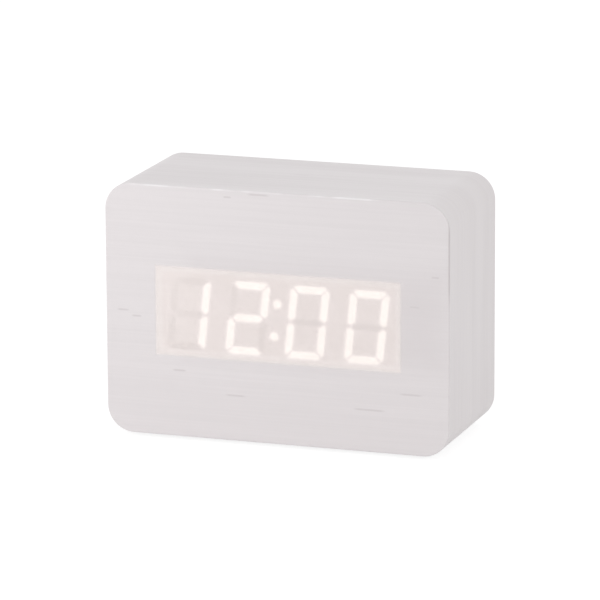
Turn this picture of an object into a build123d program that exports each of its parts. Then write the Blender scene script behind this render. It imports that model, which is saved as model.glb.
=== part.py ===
from build123d import *

import os
from math import radians, sqrt, tan

# Digital desk clock: a rounded wooden box whose time glows through its front foil.
# Millimetres. X runs to the viewer's right, Y from the front to the back, Z up. The origin
# is in the middle of the footprint, level with the surface that the clock stands on.

os.makedirs("parts", exist_ok=True)

# Case: its width and height follow from what it holds and come to 100 by 71.3
case_depth = 43.2
corner_radius = 7.6
case_wall = 6
cavity_radius = 3
post_size = 9
side_room = 17.65
foil_thickness = 0.4
foil_edge_round = 0.25
front_board_thickness = 4
foot_height = 1
foot_radius = 4
foot_inset_x = 14
foot_inset_y = 9

# Back panel
panel_recess = 1.5
panel_thickness = 2.4
panel_clearance = 0.2
rebate_width = 2
rebate_radius = 4

# Display module and the digits in it
display_shift_x = 0.35
display_shift_z = 0.15
numeral_height = 20.5
numeral_shift = -0.15
numeral_drop = 0.65
numeral_bar_spacing = 9.2
numeral_pitch = 17.3
numeral_slant_degrees = 6
bar_thickness = 1.9
bar_gap = 0.6
bar_waist_gap = 1.1
bar_bevel = 1.5
bar_tip_bevel = 0.6
colon_shift = -0.45
colon_spacing = 9.2
colon_dot_radius = 1.1
display_side_margin = 4.7
display_top_margin = 2.95
display_depth = 7
display_rim = 1
display_board_thickness = 1.2
display_board_clearance = 0.1
film_thickness = 0.2
film_gap = 0.05
window_clearance = 0.3
led_chip_size = 0.6
led_chip_height = 0.3
lens_to_board = 0.5
pin_radius = 0.25
pin_hole_clearance = 0.2
pin_pitch = 2.54
pin_inset = 2.5
pin_tail = 0.8
row_pin_count = 6

# Main board
main_board_thickness = 1.6
main_board_side_gap = 4
main_board_post_gap = 0.5
spacer_inset = 3.1
spacer_radius = 2.4
spacer_bore_clearance = 0.2

# Screws
screw_hole_clearance = 0.05
screw_fillet_share = 0.55
board_screw_radius = 1.1
board_screw_bite = 2.8
board_screw_head_radius = 2.1
board_screw_head_height = 1.4
panel_screw_radius = 1.3
panel_screw_bite = 8
panel_screw_head_radius = 2.5
panel_screw_head_height = 1.7
panel_screw_sink = 1
panel_screw_sink_clearance = 0.2
recess_width = 0.6
recess_depth = 0.8
recess_share = 1.3

# Parts on the main board
chip_leg_width = 0.4
chip_leg_thickness = 0.2
chip_leg_pitch = 1.27
chip_leg_reach = 1.4
chip_foot = 0.7
chip_lift = 0.15
controller_length = 18
controller_width = 7.5
controller_height = 2.3
controller_leg_count = 14
clock_chip_length = 5
clock_chip_width = 4
clock_chip_height = 1.5
clock_chip_leg_count = 4
clock_chip_x = 17
clock_chip_z = 4.5
crystal_radius = 1
crystal_length = 6
crystal_z = -3.5
backup_cell_inset = 13
backup_cell_radius = 10
backup_cell_thickness = 3.2
cell_holder_wall = 0.9
cell_holder_floor = 0.6
cell_holder_clearance = 0.3
cell_clip_width = 5
cell_clip_thickness = 0.4
cell_clip_clearance = 0.1
buzzer_inset_x = 7.5
buzzer_inset_z = 12
buzzer_radius = 6
buzzer_height = 8.5
buzzer_port_radius = 1
buzzer_port_depth = 1.5
microphone_inset_x = 15
microphone_inset_z = 7
microphone_radius = 3
microphone_height = 2.7
microphone_port_radius = 1
microphone_port_depth = 0.4
capacitor_radius = 3.15
capacitor_height = 7.7
capacitor_rim = 0.4
capacitor_x = 15
capacitor_inset = 6
sensor_x = -14
sensor_inset = 4.5
sensor_radius = 2.3
sensor_height = 4.6
sensor_flat_share = 0.45
transistor_length = 2.9
transistor_width = 1.3
transistor_height = 1.1
transistor_pitch = 4.6
transistor_inset = 6
transistor_count = 4
resistor_length = 2
resistor_width = 1.25
resistor_height = 0.5
resistor_pitch = 2.6
resistor_inset = 2.5
resistor_count = 8

# Ribbon and battery leads
ribbon_width = 12
ribbon_thickness = 0.9
ribbon_sag = 2.5
ribbon_edge = 2.2
lead_radius = 0.6
lead_bend = 4
lead_hole_clearance = 0.2
lead_reach = 6.5
positive_lead_inset = 5.7
negative_lead_inset = 2.6

# Rear board and what it carries
rear_board_height = 14
rear_board_top_gap = 1
rear_board_door_gap = 4.3
rear_board_post_gap = 2
rear_board_thickness = 1.6
rear_boss_length = 5
rear_boss_radius = 2.2
rear_boss_to_socket = 6.9
rear_boss_inset = 2.7
rear_screw_bite = 3.5
slide_switch_to_button = 13
last_button_inset = 9
button_travel = 0.4
button_stop_gap = 0.3
button_flange_thickness = 0.7
button_flange_radius = 3.6
button_radius = 2.5
button_hole_clearance = 0.3
button_below_rim = 0.6
button_edge_round = 0.5
plunger_radius = 1.6
plunger_clearance = 0.25
plunger_depth = 2
push_switch_size = 6
push_switch_gap = 0.2
slide_switch_to_socket = 14.5
slide_switch_length = 8.6
slide_switch_width = 5
slide_switch_height = 4
slide_pocket_depth = 2.5
slide_travel = 2
slide_knob_width = 2
slide_knob_height = 2.4
slide_clearance = 0.3
socket_inset = 5.5
socket_size = 7
socket_collar_radius = 2.9
socket_collar_clearance = 0.2
socket_bore_radius = 1.9
socket_bore_depth = 6.2
socket_pin_radius = 0.6
socket_pin_setback = 0.8
socket_pin_point_share = 0.5

# Battery bay
battery_length = 44.5
battery_radius = 5.25
battery_nub_radius = 1.9
battery_nub_length = 0.8
battery_edge_round = 0.6
battery_gap = 0.6
battery_side_gap = 0.3
battery_floor_gap = 0.2
battery_door_gap = 0.3
spring_length = 5
spring_base_radius = 3.4
spring_tip_radius = 1.7
plate_thickness = 0.4
plate_size = 8
tray_wall = 1.2
door_thickness = 1.4
door_ledge = 1.6
door_bottom_margin = 3.5
door_clearance = 0.2
door_corner_radius = 2
door_edge_round = 0.3
grip_width = 12
grip_height = 3
grip_depth = 0.6
grip_inset = 1.6

# Sound holes in the back panel
sound_hole_radius = 0.7
sound_hole_pitch = 2.3

cut_overrun = 1

# Battery bay and the door over it
battery_pitch = 2 * battery_radius + battery_gap
bay_length = battery_length + spring_length + 2 * plate_thickness
bay_height = 2 * battery_pitch + 2 * (battery_radius + battery_side_gap)
door_width = bay_length + 2 * door_ledge
door_height = bay_height + 2 * door_ledge

# The cavity holds the battery tray with room beside it, and the rear board above the door
cavity_width = bay_length + 2 * (tray_wall + side_room)
cavity_height = (
    door_bottom_margin + door_height + rear_board_door_gap + rear_board_height + rear_board_top_gap
)
case_width = cavity_width + 2 * case_wall
case_height = cavity_height + 2 * case_wall
mid_height = foot_height + case_height / 2
battery_z = door_bottom_margin + (door_height - cavity_height) / 2
post_x = (cavity_width - post_size) / 2
post_z = (cavity_height - post_size) / 2

# Depths along Y, from the front face to the back
front_face = -case_depth / 2
back_face = case_depth / 2
foil_back = front_face + foil_thickness
front_board_back = foil_back + front_board_thickness
film_front = foil_back + film_gap
film_back = film_front + film_thickness
display_front = film_back + film_gap
display_back = display_front + display_depth
main_back = display_back + main_board_thickness
panel_outer = back_face - panel_recess
panel_inner = panel_outer - panel_thickness
rear_back = panel_inner - rear_boss_length
rear_front = rear_back - rear_board_thickness
button_top = back_face - button_below_rim
door_inner = panel_outer - door_thickness
battery_y = door_inner - battery_door_gap - battery_radius
tray_floor = battery_y - battery_radius - battery_floor_gap

# Display and main board
display_width = 3 * numeral_pitch + numeral_bar_spacing + bar_thickness + 2 * display_side_margin
display_height = numeral_height + 2 * display_top_margin
main_board_width = cavity_width - 2 * main_board_side_gap
main_board_height = cavity_height - 2 * (post_size + main_board_post_gap)
spacer_x = main_board_width / 2 - spacer_inset
spacer_z = main_board_height / 2 - spacer_inset
backup_cell_x = backup_cell_inset - main_board_width / 2
buzzer_x = main_board_width / 2 - buzzer_inset_x
buzzer_z = buzzer_inset_z - main_board_height / 2
microphone_x = main_board_width / 2 - microphone_inset_x
microphone_z = main_board_height / 2 - microphone_inset_z
capacitor_z = main_board_height / 2 - capacitor_inset
sensor_z = main_board_height / 2 - sensor_inset
transistor_z = transistor_inset - main_board_height / 2
resistor_z = resistor_inset - main_board_height / 2
positive_lead_end_z = main_board_height / 2 - positive_lead_inset
negative_lead_end_z = negative_lead_inset - main_board_height / 2

# Rear board, with the socket at one end and the buttons at the other
rear_board_width = cavity_width - 2 * (post_size + rear_board_post_gap)
rear_board_z = (cavity_height - rear_board_height) / 2 - rear_board_top_gap
ribbon_z = rear_board_z - rear_board_height / 2 + ribbon_edge
socket_x = socket_inset - rear_board_width / 2
slide_switch_x = socket_x + slide_switch_to_socket
slide_rest_x = slide_switch_x - slide_travel / 2
first_button_x = slide_switch_x + slide_switch_to_button
last_button_x = rear_board_width / 2 - last_button_inset
button_places = {
    "set": first_button_x,
    "up": (first_button_x + last_button_x) / 2,
    "down": last_button_x,
}
rear_boss_places = (socket_x + rear_boss_to_socket, rear_board_width / 2 - rear_boss_inset)

# All outlines are drawn as the viewer sees the front: across, up from the case's middle
face_plane = Plane(origin=(0, 0, mid_height), x_dir=(1, 0, 0), z_dir=(0, -1, 0))


def prism(outline, front, back):
    """A flat outline carried straight back from one depth to another."""
    return extrude(face_plane.offset(-back) * outline, amount=back - front)


def block(x, z, width, height, front, back):
    """A rectangular block round a middle point."""
    return prism(Pos(x, z) * Rectangle(width, height), front, back)


def rod(x, z, radius, front, back):
    """A round rod along Y."""
    return prism(Pos(x, z) * Circle(radius), front, back)


def rounded_outline(inset, radius):
    """The case's outline drawn in by an inset."""
    return RectangleRounded(case_width - 2 * inset, case_height - 2 * inset, radius)


def corners(x, z):
    """The four places that mirror one place left and right, above and below."""
    return [(side * x, level * z) for side in (-1, 1) for level in (-1, 1)]


def write(node, *solids):
    """One file a node, a group of solids where the real piece comes several times."""
    shape = solids[0] if len(solids) == 1 else Compound(children=list(solids))
    export_step(shape, f"parts/{node}.step")


def screw(x, z, seat, radius, length, head_radius, head_height):
    """A pan-head screw driven forwards: a domed head on its seat, a cross recess, a point."""
    head = rod(x, z, head_radius, seat, seat + head_height)
    rim = head.edges().sort_by(Axis.Y)[-1]
    head = fillet(rim, head_height * screw_fillet_share)
    shank = rod(x, z, radius, seat - length, seat)
    tip = shank.edges().sort_by(Axis.Y)[0]
    shank = chamfer(tip, radius / 2)
    top = seat + head_height
    bar = head_radius * recess_share
    cross = block(x, z, bar, recess_width, top - recess_depth, top + cut_overrun)
    cross += block(x, z, recess_width, bar, top - recess_depth, top + cut_overrun)
    return head + shank - cross


# Front foil: one sheet over the whole front, its edge rolled over slightly
def front_foil():
    sheet = prism(rounded_outline(0, corner_radius), front_face, foil_back)
    rim = sheet.faces().sort_by(Axis.Y)[0].edges()
    return fillet(rim, foil_edge_round)


# Side foil: wrapped round the four sides, behind the front sheet
def side_foil():
    outer = rounded_outline(0, corner_radius)
    inner = rounded_outline(foil_thickness, corner_radius - foil_thickness)
    return prism(outer - inner, foil_back, back_face)


def board_screw_holes(front, back):
    """Pilot holes for the four screws of the main board."""
    radius = board_screw_radius + screw_hole_clearance
    return [rod(x, z, radius, front, back) for x, z in corners(spacer_x, spacer_z)]


# Front board: carries the foil, with the display's window through it
def front_board():
    outline = rounded_outline(foil_thickness, corner_radius - foil_thickness)
    board = prism(outline, foil_back, front_board_back)
    window = block(
        display_shift_x,
        display_shift_z,
        display_width + 2 * window_clearance,
        display_height + 2 * window_clearance,
        foil_back - cut_overrun,
        front_board_back + cut_overrun,
    )
    hole_bottom = front_board_back - board_screw_bite - screw_hole_clearance
    board -= window
    return board - board_screw_holes(hole_bottom, front_board_back + cut_overrun)


# Case ring: a milled tube with a post in each corner and a rebate for the back panel
def case_ring():
    outline = rounded_outline(foil_thickness, corner_radius - foil_thickness)
    ring = prism(outline, front_board_back, back_face)
    cavity = RectangleRounded(cavity_width, cavity_height, cavity_radius)
    for x, z in corners(post_x, post_z):
        cavity -= Pos(x, z) * Rectangle(post_size, post_size)
    ring -= prism(cavity, front_board_back - cut_overrun, panel_inner)
    rebate = RectangleRounded(
        cavity_width + 2 * rebate_width, cavity_height + 2 * rebate_width, rebate_radius
    )
    ring -= prism(rebate, panel_inner, back_face + cut_overrun)
    radius = panel_screw_radius + screw_hole_clearance
    hole_bottom = panel_inner - panel_screw_bite - screw_hole_clearance
    for x, z in corners(post_x, post_z):
        ring -= rod(x, z, radius, hole_bottom, panel_inner + cut_overrun)
    return ring


# Foot pads: four low discs stuck under the case
def foot_pads():
    x = case_width / 2 - foot_inset_x
    y = case_depth / 2 - foot_inset_y
    return [extrude(Pos(*place) * Circle(foot_radius), amount=foot_height) for place in corners(x, y)]


def mirrored(points, across, up):
    """Points of an outline mirrored left to right or top to bottom, still anticlockwise."""
    turned = [(x * across, z * up) for x, z in points]
    return turned if across * up > 0 else turned[::-1]


def digit_bars():
    """The seven bars of an upright digit, by their usual letters, about the digit's middle.

    Neighbouring bars meet in mitres at 45 degrees, half a gap short of the mitre line. The
    upright bars part a little more at the digit's waist, where their tips are bevelled too,
    as the digit's four outer corners are.
    """
    half = bar_thickness / 2
    column = numeral_bar_spacing / 2
    level = (numeral_height - bar_thickness) / 2
    mitre = bar_gap / sqrt(2)
    waist = bar_waist_gap / 2
    near = half - (bar_bevel + mitre) / 2
    far = half - (bar_bevel - mitre) / 2
    top_end = [
        (column - half - mitre, level - half),
        (column + near, level + far),
        (column + half - bar_bevel, level + half),
    ]
    top = top_end + mirrored(top_end, -1, 1)
    side = [
        (column - half, half + waist),
        (column, waist),
        (column + half - bar_tip_bevel, waist),
        (column + half, waist + bar_tip_bevel),
        (column + half, level + half - bar_bevel),
        (column + far, level + near),
        (column - half, level - half - mitre),
    ]
    middle_end = [
        (column - half - mitre, -half),
        (column - mitre, 0),
        (column - half - mitre, half),
    ]
    return {
        "a": top,
        "b": side,
        "c": mirrored(side, 1, -1),
        "d": mirrored(top, 1, -1),
        "e": mirrored(side, -1, -1),
        "f": mirrored(side, -1, 1),
        "g": middle_end + mirrored(middle_end, -1, 1),
    }


def leaning(points, x):
    """Points moved to a digit's place on the display and leaned to the right."""
    lean = tan(radians(numeral_slant_degrees))
    middle_x = display_shift_x + numeral_shift + x
    middle_z = display_shift_z - numeral_drop
    return [(middle_x + px + pz * lean, middle_z + pz) for px, pz in points]


# The display shows 12:00: which bars of each digit are lit, from the left
lit_bars = {
    "hour_tens": "bc",
    "hour_units": "abged",
    "minute_tens": "abcdef",
    "minute_units": "abcdef",
}
digit_places = {
    name: (place - (len(lit_bars) - 1) / 2) * numeral_pitch for place, name in enumerate(lit_bars)
}
all_bars = digit_bars()
colon_places = leaning([(0, colon_spacing / 2), (0, -colon_spacing / 2)], colon_shift)
well_bottom = display_back - display_board_thickness


def bar_outlines(digit, letters):
    """The outlines of some of a digit's bars, where they lie on the display."""
    return [Polygon(*leaning(all_bars[letter], digit_places[digit])) for letter in letters]


def lenses(digit, letters):
    """Clear resin lenses that fill the wells of some of a digit's bars."""
    outlines = bar_outlines(digit, letters)
    return [prism(outline, display_front, well_bottom - lens_to_board) for outline in outlines]


def colon_dots():
    back = well_bottom - lens_to_board
    return [rod(x, z, colon_dot_radius, display_front, back) for x, z in colon_places]


# Display film: a thin tinted diffuser over the face of the housing
def display_film():
    return block(
        display_shift_x, display_shift_z, display_width, display_height, film_front, film_back
    )


# Display housing: a pale block with a light well for each bar, open at the back for its board
def display_housing():
    housing = block(
        display_shift_x, display_shift_z, display_width, display_height, display_front, display_back
    )
    housing -= block(
        display_shift_x,
        display_shift_z,
        display_width - 2 * display_rim,
        display_height - 2 * display_rim,
        well_bottom,
        display_back + cut_overrun,
    )
    wells = []
    for digit in lit_bars:
        for outline in bar_outlines(digit, all_bars):
            wells.append(prism(outline, display_front - cut_overrun, well_bottom + cut_overrun))
    for x, z in colon_places:
        wells.append(
            rod(x, z, colon_dot_radius, display_front - cut_overrun, well_bottom + cut_overrun)
        )
    return housing - wells


def display_board():
    inset = 2 * (display_rim + display_board_clearance)
    return block(
        display_shift_x,
        display_shift_z,
        display_width - inset,
        display_height - inset,
        well_bottom,
        display_back,
    )


# LED chips: one under the middle of each bar and dot, on the display's own board
def led_chips():
    places = list(colon_places)
    for digit, x in digit_places.items():
        for points in all_bars.values():
            middle = (
                sum(px for px, pz in points) / len(points),
                sum(pz for px, pz in points) / len(points),
            )
            places += leaning([middle], x)
    front = well_bottom - led_chip_height
    return [block(x, z, led_chip_size, led_chip_size, front, well_bottom) for x, z in places]


# Two rows of pins join the display to the main board
pin_row_z = display_height / 2 - pin_inset
pin_places = [
    (display_shift_x + (count - (row_pin_count - 1) / 2) * pin_pitch, display_shift_z + level * pin_row_z)
    for level in (-1, 1)
    for count in range(row_pin_count)
]


def display_pins():
    return [rod(x, z, pin_radius, display_back, main_back + pin_tail) for x, z in pin_places]


def main_board():
    board = block(0, 0, main_board_width, main_board_height, display_back, main_back)
    holes = board_screw_holes(display_back - cut_overrun, main_back + cut_overrun)
    radius = pin_radius + pin_hole_clearance
    for x, z in pin_places:
        holes.append(rod(x, z, radius, display_back - cut_overrun, main_back + cut_overrun))
    return board - holes


# Spacers hold the main board off the front board, so that the display fills its window
def board_spacers():
    bore = board_screw_radius + spacer_bore_clearance
    ring = Circle(spacer_radius) - Circle(bore)
    places = corners(spacer_x, spacer_z)
    return [prism(Pos(x, z) * ring, front_board_back, display_back) for x, z in places]


def board_screws():
    length = main_back - front_board_back + board_screw_bite
    return [
        screw(
            x, z, main_back, board_screw_radius, length, board_screw_head_radius, board_screw_head_height
        )
        for x, z in corners(spacer_x, spacer_z)
    ]


def chip_body(x, z, length, width, height):
    return block(x, z, length, width, main_back + chip_lift, main_back + height)


def chip_legs(x, z, width, height, legs):
    """Two rows of bent legs: out of the body's side, down, and along the board."""
    knee_height = main_back + (height + chip_lift) / 2
    body_edge = width / 2
    knee = body_edge + chip_leg_reach - chip_foot
    toe = body_edge + chip_leg_reach
    side_view = [
        (body_edge, knee_height),
        (knee + chip_leg_thickness, knee_height),
        (knee + chip_leg_thickness, main_back + chip_leg_thickness),
        (toe, main_back + chip_leg_thickness),
        (toe, main_back),
        (knee, main_back),
        (knee, knee_height - chip_leg_thickness),
        (body_edge, knee_height - chip_leg_thickness),
    ]
    rows = []
    for side in (-1, 1):
        outline = Polygon(*[(y, mid_height + z + side * out) for out, y in side_view])
        for count in range(legs):
            leg_x = x + (count - (legs - 1) / 2) * chip_leg_pitch
            leg = Plane.YZ.offset(leg_x) * outline
            rows.append(extrude(leg, amount=chip_leg_width / 2, both=True))
    return rows


# Watch crystal: a small round can lying beside the clock chip
def clock_crystal():
    start = Plane(
        origin=(clock_chip_x - crystal_length / 2, main_back + crystal_radius, mid_height + crystal_z),
        z_dir=(1, 0, 0),
    )
    return extrude(start * Circle(crystal_radius), amount=crystal_length)


holder_radius = backup_cell_radius + cell_holder_clearance + cell_holder_wall
cell_front = main_back + cell_holder_floor
cell_back = cell_front + backup_cell_thickness


# Backup cell: keeps the time when the clock is unplugged, in a round holder under a clip
def backup_cell_holder():
    cup = rod(backup_cell_x, 0, holder_radius, main_back, cell_back)
    bore = backup_cell_radius + cell_holder_clearance
    return cup - rod(backup_cell_x, 0, bore, cell_front, cell_back + cut_overrun)


def backup_cell():
    return rod(backup_cell_x, 0, backup_cell_radius, cell_front, cell_back)


def backup_cell_clip():
    inside = holder_radius + cell_clip_clearance
    top = cell_back + cell_clip_thickness
    height = 2 * (inside + cell_clip_thickness)
    clip = block(backup_cell_x, 0, cell_clip_width, height, main_back, top)
    return clip - block(
        backup_cell_x, 0, cell_clip_width + cut_overrun, 2 * inside, main_back - cut_overrun, cell_back
    )


def buzzer():
    top = main_back + buzzer_height
    body = rod(buzzer_x, buzzer_z, buzzer_radius, main_back, top)
    port = rod(buzzer_x, buzzer_z, buzzer_port_radius, top - buzzer_port_depth, top + cut_overrun)
    return body - port


# Microphone: wakes the display at a clap when the sound control is on
def microphone():
    top = main_back + microphone_height
    body = rod(microphone_x, microphone_z, microphone_radius, main_back, top)
    return body - rod(
        microphone_x,
        microphone_z,
        microphone_port_radius,
        top - microphone_port_depth,
        top + cut_overrun,
    )


def board_capacitors():
    cans = []
    for side in (-1, 1):
        can = rod(
            side * capacitor_x,
            side * capacitor_z,
            capacitor_radius,
            main_back,
            main_back + capacitor_height,
        )
        rim = can.edges().sort_by(Axis.Y)[-1]
        cans.append(fillet(rim, capacitor_rim))
    return cans


# Temperature sensor: a small half-round case, flat on one side
def temperature_sensor():
    top = main_back + sensor_height
    body = rod(sensor_x, sensor_z, sensor_radius, main_back, top)
    width = 2 * (sensor_radius + cut_overrun)
    flat = block(
        sensor_x,
        sensor_z - sensor_radius * (1 + sensor_flat_share),
        width,
        2 * sensor_radius,
        main_back - cut_overrun,
        top + cut_overrun,
    )
    return body - flat


def row_of_blocks(count, pitch, z, length, width, height):
    """Like small parts soldered side by side on the main board."""
    return [
        block((place - (count - 1) / 2) * pitch, z, length, width, main_back, main_back + height)
        for place in range(count)
    ]


# Ribbon: flat wires from the main board to the rear board, hanging in a shallow bow
def board_ribbon():
    middle = (main_back + rear_front) / 2
    low = mid_height + ribbon_z - ribbon_thickness / 2
    high = low + ribbon_thickness
    under = ThreePointArc((main_back, low), (middle, low - ribbon_sag), (rear_front, low))
    over = ThreePointArc((rear_front, high), (middle, high - ribbon_sag), (main_back, high))
    ends = Line(under @ 1, over @ 0) + Line(over @ 1, under @ 0)
    outline = make_face(Curve() + [under, over, ends])
    return extrude(Plane.YZ * outline, amount=ribbon_width / 2, both=True)


def battery_lead(side, start_z, end_z):
    """A round wire from a contact plate, out through the tray's wall, to the main board."""
    start_x = side * bay_length / 2
    turn_x = start_x + side * lead_reach
    middle_y = (battery_y + main_back) / 2
    path = FilletPolyline(
        (start_x, battery_y, mid_height + start_z),
        (turn_x, battery_y, mid_height + start_z),
        (turn_x, middle_y, mid_height + end_z),
        (turn_x, main_back, mid_height + end_z),
        radius=lead_bend,
    )
    section = Plane(origin=path @ 0, z_dir=path % 0) * Circle(lead_radius)
    return sweep(sections=section, path=path)


def rear_screw_holes(radius, front, back):
    return [rod(x, rear_board_z, radius, front, back) for x in rear_boss_places]


def rear_board():
    board = block(0, rear_board_z, rear_board_width, rear_board_height, rear_front, rear_back)
    radius = board_screw_radius + screw_hole_clearance
    return board - rear_screw_holes(radius, rear_front - cut_overrun, rear_back + cut_overrun)


# The rear board's two screws go backwards into the bosses of the back panel
def rear_board_screws():
    length = rear_board_thickness + rear_screw_bite
    screws = []
    for x in rear_boss_places:
        forward = screw(
            -x,
            rear_board_z,
            -rear_front,
            board_screw_radius,
            length,
            board_screw_head_radius,
            board_screw_head_height,
        )
        screws.append(Rot(0, 0, 180) * forward)
    return screws


plunger_top = panel_inner - button_stop_gap - button_flange_thickness
push_switch_top = plunger_top - button_travel - push_switch_gap


# Push switches: square bodies on the rear board, each with a bore for its plunger
def push_switches():
    bodies = []
    bore = plunger_radius + plunger_clearance
    bore_bottom = push_switch_top - plunger_depth
    for x in button_places.values():
        body = block(x, rear_board_z, push_switch_size, push_switch_size, rear_back, push_switch_top)
        bodies.append(body - rod(x, rear_board_z, bore, bore_bottom, push_switch_top + cut_overrun))
    return bodies


def plunger(x):
    bottom = push_switch_top - plunger_depth + button_travel + push_switch_gap
    return rod(x, rear_board_z, plunger_radius, bottom, plunger_top)


# Button cap: a round key with a flange that keeps it behind the panel
def button_cap(x):
    flange_top = plunger_top + button_flange_thickness
    cap = rod(x, rear_board_z, button_flange_radius, plunger_top, flange_top)
    key = rod(x, rear_board_z, button_radius, flange_top, button_top)
    rim = key.edges().sort_by(Axis.Y)[-1]
    return cap + fillet(rim, button_edge_round)


slide_top = rear_back + slide_switch_height
slide_pocket_length = slide_knob_width + slide_travel + 2 * slide_clearance
slide_pocket_height = slide_knob_height + 2 * slide_clearance


# Sound control switch: a slide switch whose knob comes out through a slot in the panel
def sound_switch_body():
    body = block(
        slide_switch_x, rear_board_z, slide_switch_length, slide_switch_width, rear_back, slide_top
    )
    pocket = block(
        slide_switch_x,
        rear_board_z,
        slide_pocket_length,
        slide_pocket_height,
        slide_top - slide_pocket_depth,
        slide_top + cut_overrun,
    )
    return body - pocket


def sound_switch_knob():
    bottom = slide_top - slide_pocket_depth + slide_clearance
    return block(
        slide_rest_x, rear_board_z, slide_knob_width, slide_knob_height, bottom, button_top
    )


# Power socket: a square body with a round collar that fills its hole in the panel
def power_socket_body():
    body = block(socket_x, rear_board_z, socket_size, socket_size, rear_back, panel_inner)
    body += rod(socket_x, rear_board_z, socket_collar_radius, panel_inner, panel_outer)
    return body - rod(
        socket_x,
        rear_board_z,
        socket_bore_radius,
        panel_outer - socket_bore_depth,
        panel_outer + cut_overrun,
    )


def power_socket_pin():
    pin = rod(
        socket_x,
        rear_board_z,
        socket_pin_radius,
        panel_outer - socket_bore_depth,
        panel_outer - socket_pin_setback,
    )
    point = pin.edges().sort_by(Axis.Y)[-1]
    return chamfer(point, socket_pin_radius * socket_pin_point_share)


# Back panel: a plate in the rebate, with the ledge of the battery door and every opening
def back_panel():
    width = cavity_width + 2 * (rebate_width - panel_clearance)
    height = cavity_height + 2 * (rebate_width - panel_clearance)
    outline = RectangleRounded(width, height, rebate_radius - panel_clearance)
    panel = prism(outline, panel_inner, panel_outer)
    for x in rear_boss_places:
        panel += rod(x, rear_board_z, rear_boss_radius, rear_back, panel_inner)

    door_hole = RectangleRounded(
        door_width + 2 * door_clearance,
        door_height + 2 * door_clearance,
        door_corner_radius + door_clearance,
    )
    panel -= prism(Pos(0, battery_z) * door_hole, door_inner, panel_outer + cut_overrun)
    panel -= block(
        0, battery_z, bay_length, bay_height, panel_inner - cut_overrun, panel_outer + cut_overrun
    )

    front, back = panel_inner - cut_overrun, panel_outer + cut_overrun
    cuts = []
    for x in button_places.values():
        cuts.append(rod(x, rear_board_z, button_radius + button_hole_clearance, front, back))
    cuts.append(
        block(slide_switch_x, rear_board_z, slide_pocket_length, slide_pocket_height, front, back)
    )
    socket_hole = socket_collar_radius + socket_collar_clearance
    cuts.append(rod(socket_x, rear_board_z, socket_hole, front, back))
    for across, up in [(0, 0), (1, 0), (-1, 0), (0, 1), (0, -1)]:
        x = buzzer_x + across * sound_hole_pitch
        z = buzzer_z + up * sound_hole_pitch
        cuts.append(rod(x, z, sound_hole_radius, front, back))

    screw_hole = panel_screw_radius + screw_hole_clearance
    sink = panel_screw_head_radius + panel_screw_sink_clearance
    for x, z in corners(post_x, post_z):
        cuts.append(rod(x, z, screw_hole, front, back))
        cuts.append(rod(x, z, sink, panel_outer - panel_screw_sink, back))
    boss_hole = board_screw_radius + screw_hole_clearance
    cuts += rear_screw_holes(
        boss_hole, rear_back - cut_overrun, rear_back + rear_screw_bite + screw_hole_clearance
    )
    return panel - cuts


def panel_screws():
    seat = panel_outer - panel_screw_sink
    length = seat - panel_inner + panel_screw_bite
    return [
        screw(
            x, z, seat, panel_screw_radius, length, panel_screw_head_radius, panel_screw_head_height
        )
        for x, z in corners(post_x, post_z)
    ]


battery_places = {
    "upper": battery_z + battery_pitch,
    "middle": battery_z,
    "lower": battery_z - battery_pitch,
}
battery_turns = {"upper": -1, "middle": 1, "lower": -1}


# Battery tray: an open box welded behind the panel, with a hole for each lead
def battery_tray():
    tray = block(
        0,
        battery_z,
        bay_length + 2 * tray_wall,
        bay_height + 2 * tray_wall,
        tray_floor - tray_wall,
        panel_inner,
    )
    tray -= block(0, battery_z, bay_length, bay_height, tray_floor, panel_inner + cut_overrun)
    radius = lead_radius + lead_hole_clearance
    for side, name in ((-1, "upper"), (1, "lower")):
        wall = Plane(
            origin=(side * bay_length / 2, battery_y, mid_height + battery_places[name]),
            z_dir=(side, 0, 0),
        )
        tray -= extrude(wall * Circle(radius), amount=tray_wall + cut_overrun)
    return tray


def battery_cell(name):
    """A round dry cell lying across the bay, its nub against its plate."""
    turn = battery_turns[name]
    flat_end = -turn * (bay_length / 2 - plate_thickness - spring_length)
    start = Plane(
        origin=(flat_end, battery_y, mid_height + battery_places[name]), z_dir=(turn, 0, 0)
    )
    can_length = battery_length - battery_nub_length
    can = extrude(start * Circle(battery_radius), amount=can_length)
    ends = can.edges().filter_by(GeomType.CIRCLE)
    can = fillet(ends, battery_edge_round)
    return can + extrude(start.offset(can_length) * Circle(battery_nub_radius), amount=battery_nub_length)


# Contact plates: single ones for the leads, double ones that join two cells
def contact_plates():
    plates = []
    halfway = battery_pitch / 2
    for side, name, level in (
        (-1, "upper", 0),
        (1, "lower", 0),
        (1, "middle", 1),
        (-1, "middle", -1),
    ):
        plates.append(
            block(
                side * (bay_length - plate_thickness) / 2,
                battery_places[name] + level * halfway,
                plate_thickness,
                plate_size + abs(level) * battery_pitch,
                battery_y - plate_size / 2,
                battery_y + plate_size / 2,
            )
        )
    return plates


# Contact springs: conical, widest on the plate, pressing on each cell's flat end
def contact_springs():
    springs = []
    for name, turn in battery_turns.items():
        base = Plane(
            origin=(
                -turn * (bay_length / 2 - plate_thickness),
                battery_y,
                mid_height + battery_places[name],
            ),
            z_dir=(turn, 0, 0),
        )
        cone = Cone(
            spring_base_radius,
            spring_tip_radius,
            spring_length,
            align=(Align.CENTER, Align.CENTER, Align.MIN),
        )
        springs.append(base * cone)
    return springs


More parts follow.
